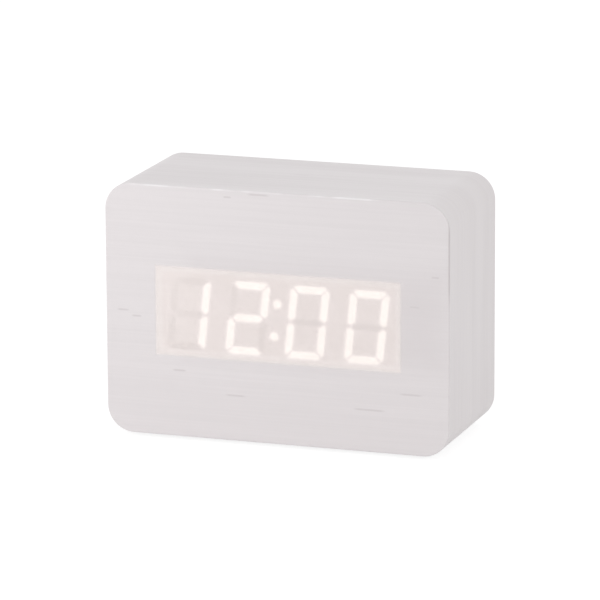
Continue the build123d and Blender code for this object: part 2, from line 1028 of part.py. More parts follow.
# Battery door: a plate pressed into the panel, with a shallow grip near its top edge
def battery_door():
    outline = RectangleRounded(door_width, door_height, door_corner_radius)
    door = prism(Pos(0, battery_z) * outline, door_inner, panel_outer)
    rim = door.faces().sort_by(Axis.Y)[-1].edges()
    door = fillet(rim, door_edge_round)
    grip_z = battery_z + door_height / 2 - grip_inset - grip_height / 2
    grip = Pos(0, grip_z) * SlotOverall(grip_width, grip_height)
    return door - prism(grip, panel_outer - grip_depth, panel_outer + cut_overrun)


write("front_foil", front_foil())
write("side_foil", side_foil())
write("front_board", front_board())
write("case_ring", case_ring())
write("foot_pads", *foot_pads())

write("display_film", display_film())
write("display_housing", display_housing())
write("display_board", display_board())
write("led_chips", *led_chips())
write("display_pins", *display_pins())
for digit, lit in lit_bars.items():
    unlit = [letter for letter in all_bars if letter not in lit]
    write(f"{digit}_lit_bars", *lenses(digit, lit))
    write(f"{digit}_unlit_bars", *lenses(digit, unlit))
write("colon_dots", *colon_dots())

write("main_board", main_board())
write("board_spacers", *board_spacers())
write("board_screws", *board_screws())
write("controller_chip", chip_body(0, 0, controller_length, controller_width, controller_height))
write(
    "clock_chip",
    chip_body(clock_chip_x, clock_chip_z, clock_chip_length, clock_chip_width, clock_chip_height),
)
write(
    "chip_legs",
    *chip_legs(0, 0, controller_width, controller_height, controller_leg_count),
    *chip_legs(clock_chip_x, clock_chip_z, clock_chip_width, clock_chip_height, clock_chip_leg_count),
)
write("clock_crystal", clock_crystal())
write("backup_cell_holder", backup_cell_holder())
write("backup_cell", backup_cell())
write("backup_cell_clip", backup_cell_clip())
write("buzzer", buzzer())
write("microphone", microphone())
write("board_capacitors", *board_capacitors())
write("temperature_sensor", temperature_sensor())
write(
    "digit_transistors",
    *row_of_blocks(
        transistor_count,
        transistor_pitch,
        transistor_z,
        transistor_length,
        transistor_width,
        transistor_height,
    ),
)
write(
    "board_resistors",
    *row_of_blocks(
        resistor_count, resistor_pitch, resistor_z, resistor_width, resistor_length, resistor_height
    ),
)
write("board_ribbon", board_ribbon())
write("battery_lead_positive", battery_lead(-1, battery_places["upper"], positive_lead_end_z))
write("battery_lead_negative", battery_lead(1, battery_places["lower"], negative_lead_end_z))

write("rear_board", rear_board())
write("rear_board_screws", *rear_board_screws())
write("push_switches", *push_switches())
for name, place in button_places.items():
    write(f"{name}_plunger", plunger(place))
    write(f"{name}_button", button_cap(place))
write("sound_switch_body", sound_switch_body())
write("sound_switch_knob", sound_switch_knob())
write("power_socket_body", power_socket_body())
write("power_socket_pin", power_socket_pin())

write("back_panel", back_panel())
write("panel_screws", *panel_screws())
write("battery_tray", battery_tray())
for name in battery_places:
    write(f"battery_cell_{name}", battery_cell(name))
write("contact_plates", *contact_plates())
write("contact_springs", *contact_springs())
write("battery_door", battery_door())
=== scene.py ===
# A small digital desk clock: a rounded box in white wood-effect film, whose lit time shows
# through its front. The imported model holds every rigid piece. Here each piece gets its
# finish, in the order of assembly, and the small forms that show close up are added.

import bpy
import numpy as np
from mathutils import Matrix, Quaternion, Vector


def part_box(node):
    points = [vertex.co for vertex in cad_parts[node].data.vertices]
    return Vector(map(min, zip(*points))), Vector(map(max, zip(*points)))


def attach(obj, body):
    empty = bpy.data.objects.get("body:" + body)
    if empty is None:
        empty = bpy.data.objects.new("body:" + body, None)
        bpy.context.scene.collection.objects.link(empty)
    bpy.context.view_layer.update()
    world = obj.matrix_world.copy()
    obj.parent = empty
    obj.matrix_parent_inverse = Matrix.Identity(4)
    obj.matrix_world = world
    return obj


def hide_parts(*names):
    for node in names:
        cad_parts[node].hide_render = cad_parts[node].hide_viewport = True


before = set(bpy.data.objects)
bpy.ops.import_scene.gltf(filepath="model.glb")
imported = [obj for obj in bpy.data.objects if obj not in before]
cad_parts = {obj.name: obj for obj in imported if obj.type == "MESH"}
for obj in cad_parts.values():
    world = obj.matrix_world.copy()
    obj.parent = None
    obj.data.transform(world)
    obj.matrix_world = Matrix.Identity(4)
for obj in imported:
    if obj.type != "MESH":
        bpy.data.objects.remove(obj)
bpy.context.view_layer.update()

# Case: a front board and a milled ring of fibreboard, glued into one box. The ring's back
# edge is sealed white, and all its other faces are covered or lie inside.

mm = 0.001


def connect(tree, node, sockets):
    """Sets a node's inputs, by name or number, to plain values or to other nodes' outputs."""
    for name, value in sockets.items():
        if isinstance(value, bpy.types.NodeSocket):
            tree.links.new(value, node.inputs[name])
        else:
            node.inputs[name].default_value = value


def add(tree, kind, sockets, **settings):
    """Adds a shader node with its own settings and its inputs."""
    node = tree.nodes.new("ShaderNode" + kind)
    for name, value in settings.items():
        setattr(node, name, value)
    connect(tree, node, sockets)
    return node


def maths(tree, operation, *values):
    """One step of arithmetic on numbers or outputs."""
    return add(tree, "Math", dict(enumerate(values)), operation=operation).outputs[0]


def smooth_step(tree, value, start, end, low=0.0, high=1.0):
    """Goes from low to high, eased at both ends, while a value goes from start to end."""
    sockets = {"Value": value, "From Min": start, "From Max": end, "To Min": low, "To Max": high}
    return add(tree, "MapRange", sockets, interpolation_type="SMOOTHSTEP").outputs[0]


def blend_colours(tree, share, first, second):
    """The first colour where the share is 0, the second where it is 1."""
    return add(tree, "Mix", {0: share, 6: first, 7: second}, data_type="RGBA").outputs[2]


def seen(red, green, blue):
    """A colour as a screen shows it, each part from 0 to 255, turned into amounts of light.

    This follows the curve that screens have by standard: straight near black, then a power.
    """
    share = np.array([red, green, blue]) / 255
    light = np.where(share <= 0.04045, share / 12.92, ((share + 0.055) / 1.055) ** 2.4)
    return (*light.tolist(), 1.0)


def new_material(name, **sockets):
    """A material, its nodes and its shader, with the shader's plain inputs given by name."""
    material = bpy.data.materials.new(name)
    material.use_nodes = True
    tree = material.node_tree
    shader = tree.nodes["Principled BSDF"]
    connect(tree, shader, sockets)
    return material, tree, shader


def object_position(tree):
    """Where each point lies on the object, in metres."""
    return add(tree, "TexCoord", {}).outputs["Object"]


def parts_of(tree, vector):
    """The X, Y and Z of a vector."""
    return add(tree, "SeparateXYZ", {0: vector}).outputs[:3]


def stretched(tree, position, scale):
    """A position scaled along each axis."""
    return add(tree, "Mapping", {"Vector": position, "Scale": scale}).outputs[0]


def noise(tree, position, waves=1.0, detail=2.0):
    """Soft noise about 0.5, with so many waves a metre."""
    sockets = {"Vector": position, "Scale": waves, "Detail": detail}
    return add(tree, "TexNoise", sockets).outputs[0]


def emboss(tree, shader, height, depth):
    """Makes a surface stand out by a depth in metres where the height is 1."""
    bump = add(tree, "Bump", {"Height": height, "Distance": depth})
    connect(tree, shader, {"Normal": bump.outputs[0]})


def dress(material, *nodes):
    """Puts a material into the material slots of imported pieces."""
    for name in nodes:
        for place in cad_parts[name].material_slots:
            place.material = material


# Noise lies mostly within this range, over which its two colours are spread
noise_range = (0.35, 0.65)
fibre_waves = (900, 350, 900)
fibre_depth = 0.04 * mm
brush_waves = (300, 300, 1500)
board_light = seen(188, 160, 124)
board_dark = seen(142, 112, 80)
board_roughness = 0.85
sealer_light = seen(228, 223, 223)
sealer_dark = seen(221, 216, 215)
sealer_roughness = 0.5
sealer_edge = 0.2 * mm
sealed_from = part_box("back_panel")[1].y - sealer_edge

fibreboard, tree, shader = new_material("fibreboard")
position = object_position(tree)
fibres = noise(tree, stretched(tree, position, fibre_waves), detail=5)
brushing = noise(tree, stretched(tree, position, brush_waves))
brown = blend_colours(tree, smooth_step(tree, fibres, *noise_range), board_dark, board_light)
white = blend_colours(tree, smooth_step(tree, brushing, *noise_range), sealer_dark, sealer_light)
sealed_to = sealed_from + sealer_edge
sealed = smooth_step(tree, parts_of(tree, position)[1], sealed_from, sealed_to)
rough = smooth_step(tree, sealed, 0, 1, board_roughness, sealer_roughness)
connect(tree, shader, {"Base Color": blend_colours(tree, sealed, brown, white)})
connect(tree, shader, {"Roughness": rough})
emboss(tree, shader, fibres, fibre_depth)
dress(fibreboard, "front_board", "case_ring")

# Film: thin white vinyl, printed and embossed as fine wood. One strip goes round the four
# sides with its ends butted underneath, and one sheet covers the front and its window. The
# sheet's edge is rolled over. Its butt seam and a hair's lift at the upper right are dark
# lines, partly the joint and partly painted shade in the gap.


def shared_effect(name, inputs, outputs):
    """An empty group of shader nodes with named inputs and outputs."""
    effect = bpy.data.node_groups.new(name, "ShaderNodeTree")
    for direction, sockets in (("INPUT", inputs), ("OUTPUT", outputs)):
        for socket, kind in sockets.items():
            effect.interface.new_socket(name=socket, in_out=direction, socket_type=kind)
    return effect


def taken_in(effect):
    """The inputs of a shared effect, by name."""
    return effect.nodes.new("NodeGroupInput").outputs


def give_out(effect, sockets):
    """Fills the outputs of a shared effect."""
    connect(effect, effect.nodes.new("NodeGroupOutput"), sockets)


def use_effect(tree, effect, sockets):
    """Places a shared effect in a material and returns its outputs by name."""
    return add(tree, "Group", sockets, node_tree=effect).outputs


NUMBER = "NodeSocketFloat"
VECTOR = "NodeSocketVector"

# The grain runs along X and Z and crosses Y. Tone goes from dark to light streaks, Pores
# marks short dark dashes, and Height is the embossing. Waves are counted over a metre
waver_waves = (28, 60, 28)
waver_reach = 0.9 * mm
streak_waves = (22, 1500, 22)
streak_share = 0.5
band_waves = (9, 170, 9)
tone_range = (0.36, 0.64)
pore_waves = (36, 480, 36)
pore_edge = (0.06, 0.1)
pore_chosen_from = 0.82
pore_sunk = 1.5
wood_grain = shared_effect(
    "wood_grain", {"Position": VECTOR}, {"Tone": NUMBER, "Pores": NUMBER, "Height": NUMBER}
)
tree = wood_grain
position = taken_in(tree)["Position"]
x, y, z = parts_of(tree, position)
waver = maths(tree, "SUBTRACT", noise(tree, stretched(tree, position, waver_waves)), 0.5)
y = maths(tree, "MULTIPLY_ADD", waver, waver_reach, y)
position = add(tree, "CombineXYZ", {0: x, 1: y, 2: z}).outputs[0]
streaks = noise(tree, stretched(tree, position, streak_waves), detail=3)
bands = noise(tree, stretched(tree, position, band_waves))
bands = maths(tree, "MULTIPLY", bands, 1 - streak_share)
tone = maths(tree, "MULTIPLY_ADD", streaks, streak_share, bands)
places = {"Vector": stretched(tree, position, pore_waves), "Scale": 1.0}
places = add(tree, "TexVoronoi", places).outputs
dashes = smooth_step(tree, places["Distance"], *pore_edge, 1, 0)
chosen = smooth_step(tree, parts_of(tree, places["Color"])[0], pore_chosen_from, 1.0)
pores = maths(tree, "MULTIPLY", dashes, chosen)
height = maths(tree, "SUBTRACT", streaks, maths(tree, "MULTIPLY", pores, pore_sunk))
give_out(tree, {"Tone": smooth_step(tree, tone, *tone_range), "Pores": pores, "Height": height})

# One dark dash: Mask is 1 in its middle, half at three quarters of its reach along an axis
# and 0 at its reach, so that a dash's reach is two thirds of its visible length
reach_of_length = 2 / 3
short_dash = shared_effect(
    "short_dash", {"Position": VECTOR, "Middle": VECTOR, "Reach": VECTOR}, {"Mask": NUMBER}
)
tree = short_dash
given = taken_in(tree)
offset = add(tree, "VectorMath", {0: given[0], 1: given[1]}, operation="SUBTRACT").outputs[0]
offset = add(tree, "VectorMath", {0: offset, 1: given[2]}, operation="DIVIDE").outputs[0]
shares = [maths(tree, "ABSOLUTE", part) for part in parts_of(tree, offset)]
masks = [smooth_step(tree, share, 0.5, 1, 1, 0) for share in shares]
mask = maths(tree, "MULTIPLY", maths(tree, "MULTIPLY", masks[0], masks[1]), masks[2])
give_out(tree, {"Mask": mask})

film_light = seen(232, 227, 228)
film_dark = seen(229, 224, 225)
film_pore = seen(219, 213, 214)
seam_line_and_shade = seen(214, 208, 209)
film_roughness = (0.5, 0.4)
film_specular = {"Specular IOR Level": 0.4}
film_emboss = 0.004 * mm
unlimited = 1.0
flat = (0, 0, 0)
on_edge = (np.pi / 2, 0, 0)


def film_colour(tree, shader, turn):
    """Grain of the film, turned so that it crosses Y, and the finish of its embossing."""
    turned = add(tree, "Mapping", {"Vector": object_position(tree), "Rotation": turn}).outputs[0]
    grain = use_effect(tree, wood_grain, {"Position": turned})
    colour = blend_colours(tree, grain["Tone"], film_dark, film_light)
    connect(tree, shader, {"Roughness": smooth_step(tree, grain["Tone"], 0, 1, *film_roughness)})
    emboss(tree, shader, grain["Height"], film_emboss)
    return blend_colours(tree, grain["Pores"], colour, film_pore)


def darker_lines(tree, colour, ink, lines):
    """Draws dark dashes, each given by its middle and its reach, over a colour."""
    position = object_position(tree)
    for middle, reach in lines:
        dash = use_effect(
            tree, short_dash, {"Position": position, "Middle": middle, "Reach": reach}
        )
        colour = blend_colours(tree, dash["Mask"], colour, ink)
    return colour


sheet_low, sheet_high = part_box("front_foil")
middle_height = (sheet_low.z + sheet_high.z) / 2
lifted_gap = 0.26 * mm
butt_gap = 0.12 * mm
butt_height = 1 * mm

# Where the sheet's edge has lifted, dark with painted shade: at what height, over what length
lifted_places = (
    (middle_height + 19.5 * mm, 20.5 * mm),
    (middle_height + 31 * mm, 1.6 * mm),
)
side_film, tree, shader = new_material("side_film", **film_specular)
side_seams = [((0, 0, sheet_low.z), (butt_gap, unlimited, butt_height))]
for height, length in lifted_places:
    place = (sheet_high.x, sheet_high.y, height)
    side_seams.append((place, (unlimited, lifted_gap, reach_of_length * length)))
# The seams are dark lines, partly the joint and partly painted shade in the gap
colour = film_colour(tree, shader, flat)
connect(tree, shader, {"Base Color": darker_lines(tree, colour, seam_line_and_shade, side_seams)})
dress(side_film, "side_foil")

# Pores that show on the front: across and up from its middle, and their length
front_pores = (
    (-45, -0.5, 3),
    (-41, -2, 2.5),
    (-28.5, -16.7, 3.5),
    (-12, -22.7, 5),
    (27, -23.7, 8),
    (39, -18.5, 5.5),
    (40, 6.3, 2.5),
    (46, 15, 2),
    (-5, 34.7, 5.5),
    (-14, 33.5, 2),
)
pore_reach = 0.34 * mm

# The display shows through the sheet where it covers the window. A soft shade lies round
# the window, more to the right of it and above it
window_low, window_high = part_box("display_film")
window_see_through = 0.55
window_edge = 1.1 * mm
window_shade = seen(222, 216, 217)
shade_reach = 7 * mm
shade_shift = (12 * mm, 2 * mm)
shade_strength = 0.6
light_reach = 2.5 * mm

# Along the top edge, where the sheet folds over, a painted highlight lies in broken pieces
fold_reach = 0.55 * mm
fold_end = 29 * mm
fold_fade = 2 * mm
fold_waves = (70, 0, 0)
fold_highlight_range = (0.44, 0.58)
fold_highlight = seen(242, 239, 240)


def past_box(tree, low, high, shift=(0, 0)):
    """How far points lie outside the front view of a box that is moved right and up."""
    x, y, z = parts_of(tree, object_position(tree))
    middle, reach = (low + high) / 2, (high - low) / 2
    from_side = maths(tree, "ABSOLUTE", maths(tree, "SUBTRACT", x, middle.x + shift[0]))
    from_level = maths(tree, "ABSOLUTE", maths(tree, "SUBTRACT", z, middle.z + shift[1]))
    past_side = maths(tree, "SUBTRACT", from_side, reach.x)
    past_level = maths(tree, "SUBTRACT", from_level, reach.z)
    return maths(tree, "MAXIMUM", past_side, past_level)


def only_lights(tree):
    """1 for shadow rays, diffuse rays and rays from behind, which pass a milky sheet freely."""
    light_path = add(tree, "LightPath", {}).outputs
    lights = maths(tree, "MAXIMUM", light_path["Is Shadow Ray"], light_path["Is Diffuse Ray"])
    return maths(tree, "MAXIMUM", lights, add(tree, "NewGeometry", {}).outputs["Backfacing"])


front_film, tree, shader = new_material("front_film", **film_specular)
x, y, z = parts_of(tree, object_position(tree))
past_edge = past_box(tree, window_low, window_high)
past_shade = past_box(tree, window_low, window_high, shade_shift)
pores = [
    (
        (across * mm, sheet_low.y, middle_height + up * mm),
        (reach_of_length * length * mm, unlimited, pore_reach),
    )
    for across, up, length in front_pores
]
lifted = [
    (
        (sheet_high.x, sheet_low.y, height),
        (2 * lifted_gap, unlimited, reach_of_length * length),
    )
    for height, length in lifted_places
]
colour = film_colour(tree, shader, on_edge)
shaded = smooth_step(tree, past_shade, -shade_reach, shade_reach, shade_strength, 0)
colour = blend_colours(tree, shaded, colour, window_shade)
colour = darker_lines(tree, colour, film_pore, pores)
# The lifted edge: a dark line, partly the gap and partly painted shade in it
colour = darker_lines(tree, colour, seam_line_and_shade, lifted)
# Painted highlight on the fold, broken up by noise and fading out towards the right
on_fold = smooth_step(tree, z, sheet_high.z - fold_reach, sheet_high.z - fold_reach / 2)
before_end = smooth_step(tree, x, fold_end, fold_end + fold_fade, 1, 0)
highlight_noise = noise(tree, stretched(tree, object_position(tree), fold_waves))
highlight_pieces = smooth_step(tree, highlight_noise, *fold_highlight_range)
highlighted = maths(tree, "MULTIPLY", on_fold, maths(tree, "MULTIPLY", before_end, highlight_pieces))
connect(tree, shader, {"Base Color": blend_colours(tree, highlighted, colour, fold_highlight)})
on_window = smooth_step(tree, past_edge, 0, light_reach, 1, 0)
lets_light = maths(tree, "MULTIPLY", only_lights(tree), on_window)
shows = smooth_step(tree, past_edge, -window_edge, 0, window_see_through, 0)
passed = maths(tree, "MAXIMUM", lets_light, shows)
connect(tree, shader, {"Alpha": maths(tree, "SUBTRACT", 1.0, passed)})
dress(front_film, "front_foil")

# Foot pads: four discs punched from dark grey foam, with the bubbles cut open all over. Glue
# on their upper side holds them to the case.

foam_waves = 1600
foam_light = seen(70, 70, 72)
foam_dark = seen(34, 34, 35)
foam_range = (0.1, 0.6)
foam_depth = 0.1 * mm

foam, tree, shader = new_material("foam", Roughness=0.9)
bubbles = {"Vector": object_position(tree), "Scale": foam_waves}
bubbles = add(tree, "TexVoronoi", bubbles).outputs["Distance"]
foam_tone = smooth_step(tree, bubbles, *foam_range)
connect(tree, shader, {"Base Color": blend_colours(tree, foam_tone, foam_dark, foam_light)})
emboss(tree, shader, bubbles, foam_depth)
dress(foam, "foot_pads")

# Display: a pale moulded block with a light well for each bar, filled with milky resin. One
# small lamp chip lies under each, on the display's own board, and a thin film covers all.

# Moulded skin: the fine sparks of an injection mould, in waves a metre, and broad clouds
cloud_waves_share = 0.03
cloud_share = 0.7
spark_range = (0.3, 0.7)
spark_roughness = 0.06
moulded_skin = shared_effect(
    "moulded_skin", {"Position": VECTOR, "Waves": NUMBER}, {"Tone": NUMBER, "Height": NUMBER}
)
tree = moulded_skin
given = taken_in(tree)
sparks = noise(tree, given["Position"], given["Waves"], detail=4)
cloud_waves = maths(tree, "MULTIPLY", given["Waves"], cloud_waves_share)
clouds = noise(tree, given["Position"], cloud_waves)
tone = maths(tree, "MULTIPLY", sparks, 1 - cloud_share)
tone = maths(tree, "MULTIPLY_ADD", clouds, cloud_share, tone)
give_out(tree, {"Tone": smooth_step(tree, tone, *tone_range), "Height": sparks})


def moulded_plastic(name, light, dark, waves, depth, roughness, **sockets):
    """Plastic with the skin of its mould: its material, nodes, shader and colour."""
    material, tree, shader = new_material(name, **sockets)
    skin = use_effect(tree, moulded_skin, {"Position": object_position(tree), "Waves": waves})
    colour = blend_colours(tree, skin["Tone"], seen(*dark), seen(*light))
    ends = (roughness + spark_roughness, roughness - spark_roughness)
    rough = smooth_step(tree, skin["Height"], *spark_range, *ends)
    connect(tree, shader, {"Base Color": colour, "Roughness": rough})
    emboss(tree, shader, skin["Height"], depth)
    return material, tree, shader, colour


leaked_light = 0.21
leak_into_bars = 0.8
leak_colour = seen(255, 236, 228)
rim_light = seen(246, 238, 234)
rim_width = 2.3 * mm
rim_step = 0.3 * mm
housing, tree, shader, colour = moulded_plastic(
    "display_plastic",
    light=(240, 229, 225),
    dark=(236, 225, 220),
    waves=3000,
    depth=0.01 * mm,
    roughness=0.5,
)
connect(tree, shader, {"Emission Color": leak_colour, "Emission Strength": leaked_light})
past_edge = past_box(tree, *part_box("display_housing"))
rim = smooth_step(tree, past_edge, -rim_width - rim_step, -rim_width + rim_step)
connect(tree, shader, {"Base Color": blend_colours(tree, rim, colour, rim_light)})
dress(housing, "display_housing")

digits = ("hour_tens", "hour_units", "minute_tens", "minute_units")
lit_nodes = ["colon_dots", *[f"{digit}_lit_bars" for digit in digits]]
lit_strength = 0.45
lit_waves = 170
lit_range = (0.3, 0.7)
lit_bright = seen(255, 245, 232)
lit_dim = seen(250, 240, 226)
resin_colour = seen(226, 218, 210)
lit, tree, shader = new_material("lit_lens", Roughness=0.2)
brightness = smooth_step(tree, noise(tree, object_position(tree), lit_waves), *lit_range)
brightness = blend_colours(tree, brightness, lit_dim, lit_bright)
connect(tree, shader, {"Base Color": resin_colour, "Emission Color": brightness})
connect(tree, shader, {"Emission Strength": lit_strength})
dress(lit, *lit_nodes)

unlit, tree, shader, colour = moulded_plastic(
    "unlit_lens",
    light=(232, 221, 216),
    dark=(226, 215, 210),
    waves=1500,
    depth=0.005 * mm,
    roughness=0.25,
)
leaked_into_bars = leak_into_bars * leaked_light
connect(tree, shader, {"Emission Color": leak_colour, "Emission Strength": leaked_into_bars})
dress(unlit, *[f"{digit}_unlit_bars" for digit in digits])

lamp_chip, *_ = moulded_plastic(
    "lamp_chip",
    light=(244, 226, 128),
    dark=(228, 204, 96),
    waves=2500,
    depth=0.005 * mm,
    roughness=0.3,
)
dress(lamp_chip, "led_chips")

# Display film: a thin milky sheet just clear of the lenses. The light of the lit bars spreads
# in it, so each of its points carries a glow that fades with the way to the nearest lit bar.

film_see_through = 0.72
film_pitch = 0.3 * mm
film_low, film_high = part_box("display_film")
milk_waves = 260
milk_light = seen(240, 231, 226)
milk_dark = seen(232, 221, 215)
glow_fade = 0.3 * mm
glow_strength = 1.03
glow_colour = seen(255, 245, 243)
no_light = (0, 0, 0, 1)
face_tolerance = 0.01 * mm

diffuser, tree, shader = new_material("diffuser", Roughness=0.35)
milk = noise(tree, object_position(tree), milk_waves, detail=3)
milky = blend_colours(tree, smooth_step(tree, milk, *noise_range), milk_dark, milk_light)
passing = maths(tree, "MAXIMUM", only_lights(tree), film_see_through)
connect(tree, shader, {"Base Color": milky, "Alpha": maths(tree, "SUBTRACT", 1.0, passing)})
spread = add(tree, "Attribute", {}, attribute_name="glow").outputs["Fac"]
spread = blend_colours(tree, spread, no_light, glow_colour)
connect(tree, shader, {"Emission Color": spread, "Emission Strength": glow_strength})


def lit_edges():
    """Both ends of the edges of all triangles in the lit bars' front faces, across and up.

    An edge between two triangles comes twice, so it drops out where crossings are paired off.
    """
    corners = []
    for node in lit_nodes:
        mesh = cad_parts[node].data
        points = np.empty(3 * len(mesh.vertices), dtype=np.float32)
        mesh.vertices.foreach_get("co", points)
        order = np.empty(len(mesh.loops), dtype=np.int32)
        mesh.loops.foreach_get("vertex_index", order)
        triangles = points.reshape(-1, 3)[order].reshape(-1, 3, 3)
        in_front = triangles[:, :, 1].max(axis=1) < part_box(node)[0].y + face_tolerance
        corners.append(triangles[in_front][:, :, [0, 2]])
    starts = np.concatenate(corners).astype(float)
    ends = np.roll(starts, -1, axis=1)
    return starts.reshape(-1, 2), ends.reshape(-1, 2)


def way_out(places, starts, ends):
    """How far places lie outside the outlines that the edges make, and 0 for those inside.

    A place lies inside where a level line from it crosses the edges an odd number of times.
    """
    along = ends - starts
    offset = places[:, None] - starts
    share = np.clip((offset * along).sum(axis=2) / (along**2).sum(axis=1), 0, 1)
    gap = np.linalg.norm(offset - share[..., None] * along, axis=2).min(axis=1)
    level = places[:, None, 1]
    crossed = (starts[:, 1] > level) != (ends[:, 1] > level)
    rise = np.where(along[:, 1] == 0, 1, along[:, 1])
    meeting = starts[:, 0] + (level - starts[:, 1]) / rise * along[:, 0]
    inside = (crossed & (meeting > places[:, None, 0])).sum(axis=1) % 2 == 1
    return np.where(inside, 0, gap)


def new_piece(name, points, faces, material, body):
    """A mesh piece in its final place, riding on a body and finished with the given material."""
    mesh = bpy.data.meshes.new(name)
    mesh.from_pydata(np.asarray(points).tolist(), [], [list(map(int, face)) for face in faces])
    mesh.materials.append(material)
    piece = bpy.data.objects.new(name, mesh)
    bpy.context.scene.collection.objects.link(piece)
    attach(piece, body)
    return piece


def grid_faces(rows, columns, closed_rows=False, closed_columns=True):
    """Quads between the neighbours in a grid of points, whose opposite edges may be joined."""
    row, column = np.meshgrid(
        np.arange(rows if closed_rows else rows - 1),
        np.arange(columns if closed_columns else columns - 1),
        indexing="ij",
    )
    next_row, next_column = (row + 1) % rows, (column + 1) % columns
    corners = [
        row * columns + column,
        row * columns + next_column,
        next_row * columns + next_column,
        next_row * columns + column,
    ]
    return np.stack(corners, axis=-1).reshape(-1, 4).tolist()


columns = round((film_high.x - film_low.x) / film_pitch)
rows = round((film_high.z - film_low.z) / film_pitch)
across = np.linspace(film_low.x, film_high.x, columns)
up = np.linspace(film_low.z, film_high.z, rows)
places = np.stack(np.meshgrid(across, up), axis=-1).reshape(-1, 2)
points = np.insert(places, 1, film_low.y, axis=1)
faces = grid_faces(rows, columns, closed_columns=False)
film = new_piece("glowing_film", points, faces, diffuser, "clock")
glow = np.exp(-way_out(places, *lit_edges()) / glow_fade)
film.data.attributes.new("glow", "FLOAT", "POINT").data.foreach_set("value", glow)
film.modifiers.new("thickness", "SOLIDIFY").thickness = film_high.y - film_low.y
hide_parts("display_film")

# Boards: green glass-fibre boards with copper tracks under the lacquer and bare tinned pads.
# The display's board is soldered to the main board by pins, and spacers carry the main board.

track_waves = 420
track_gap = {"Mortar Size": 0.11, "Mortar Smooth": 0.0}
track_height = 0.03 * mm
crowd_waves = 150
crowd_edge = (0.47, 0.5)
pad_waves = 394
pad_edge = (0.28, 0.33)
picked_waves = 90
picked_edge = (0.53, 0.54)
lacquer = seen(24, 92, 50)
lacquer_over_copper = seen(38, 122, 66)
lacquer_roughness = (0.4, 0.3)
lacquer_coat = 0.3
tin = seen(196, 196, 192)
circuit_tracks = shared_effect(
    "circuit_tracks", {"Position": VECTOR}, {"Track": NUMBER, "Pad": NUMBER}
)
tree = circuit_tracks
x, y, z = parts_of(tree, taken_in(tree)["Position"])
plan = add(tree, "CombineXYZ", {0: x, 1: z}).outputs[0]
bricks = {"Vector": plan, "Scale": track_waves, **track_gap}
bricks = add(tree, "TexBrick", bricks).outputs["Fac"]
crowded = smooth_step(tree, noise(tree, plan, crowd_waves), *crowd_edge)
dots = {"Vector": plan, "Scale": pad_waves, "Randomness": 0.0}
dots = add(tree, "TexVoronoi", dots).outputs["Distance"]
dots = smooth_step(tree, dots, *pad_edge, 1, 0)
picked = smooth_step(tree, noise(tree, plan, picked_waves), *picked_edge)
tracks = maths(tree, "MULTIPLY", bricks, crowded)
pads = maths(tree, "MULTIPLY", dots, picked)
give_out(tree, {"Track": tracks, "Pad": pads})

circuit_board, tree, shader = new_material("circuit_board", **{"Coat Weight": lacquer_coat})
tracks = use_effect(tree, circuit_tracks, {"Position": object_position(tree)})
colour = blend_colours(tree, tracks["Track"], lacquer, lacquer_over_copper)
colour = blend_colours(tree, tracks["Pad"], colour, tin)
rough = smooth_step(tree, tracks["Track"], 0, 1, *lacquer_roughness)
connect(tree, shader, {"Base Color": colour, "Metallic": tracks["Pad"], "Roughness": rough})
emboss(tree, shader, tracks["Track"], track_height)
dress(circuit_board, "display_board", "main_board", "rear_board")

# Parts on the boards: black moulded cases, tinned legs, a watch crystal, a coin cell in its
# holder, the buzzer, the microphone and two capacitors, all soldered to the main board. The
# rear board carries the push switches, the sound switch and the power socket.

chip_case, *_ = moulded_plastic(
    "chip_case",
    light=(34, 34, 36),
    dark=(24, 24, 26),
    waves=5000,
    depth=0.01 * mm,
    roughness=0.6,
)
dress(
    chip_case,
    "controller_chip",
    "clock_chip",
    "temperature_sensor",
    "digit_transistors",
    "board_resistors",
)

black_plastic, *_ = moulded_plastic(
    "black_plastic",
    light=(40, 40, 42),
    dark=(28, 28, 30),
    waves=2500,
    depth=0.015 * mm,
    roughness=0.45,
)
dress(
    black_plastic,
    "push_switches",
    "sound_switch_body",
    "power_socket_body",
    "backup_cell_holder",
    "buzzer",
)

plunger_plastic, *_ = moulded_plastic(
    "plunger_plastic",
    light=(52, 52, 54),
    dark=(40, 40, 42),
    waves=3000,
    depth=0.01 * mm,
    roughness=0.5,
)
dress(plunger_plastic, "set_plunger", "up_plunger", "down_plunger")

nylon, *_ = moulded_plastic(
    "nylon",
    light=(238, 236, 226),
    dark=(228, 226, 214),
    waves=1200,
    depth=0.01 * mm,
    roughness=0.45,
    **{"Subsurface Weight": 0.2},
)
dress(nylon, "board_spacers")

# Plated metal: fine lines along X and Z from rolling, and soft clouds in the plating
rolled = (0.05, 1, 0.05)
line_share = 0.4
plate_cloud_waves_share = 0.1
plate_roughness = (0.08, -0.05)
plating = shared_effect(
    "plating", {"Position": VECTOR, "Waves": NUMBER}, {"Tone": NUMBER, "Height": NUMBER}
)
tree = plating
given = taken_in(tree)
lines = noise(tree, stretched(tree, given["Position"], rolled), given["Waves"], detail=3)
cloud_waves = maths(tree, "MULTIPLY", given["Waves"], plate_cloud_waves_share)
clouds = noise(tree, given["Position"], cloud_waves)
tone = maths(tree, "MULTIPLY", clouds, 1 - line_share)
tone = maths(tree, "MULTIPLY_ADD", lines, line_share, tone)
give_out(tree, {"Tone": smooth_step(tree, tone, *tone_range), "Height": lines})


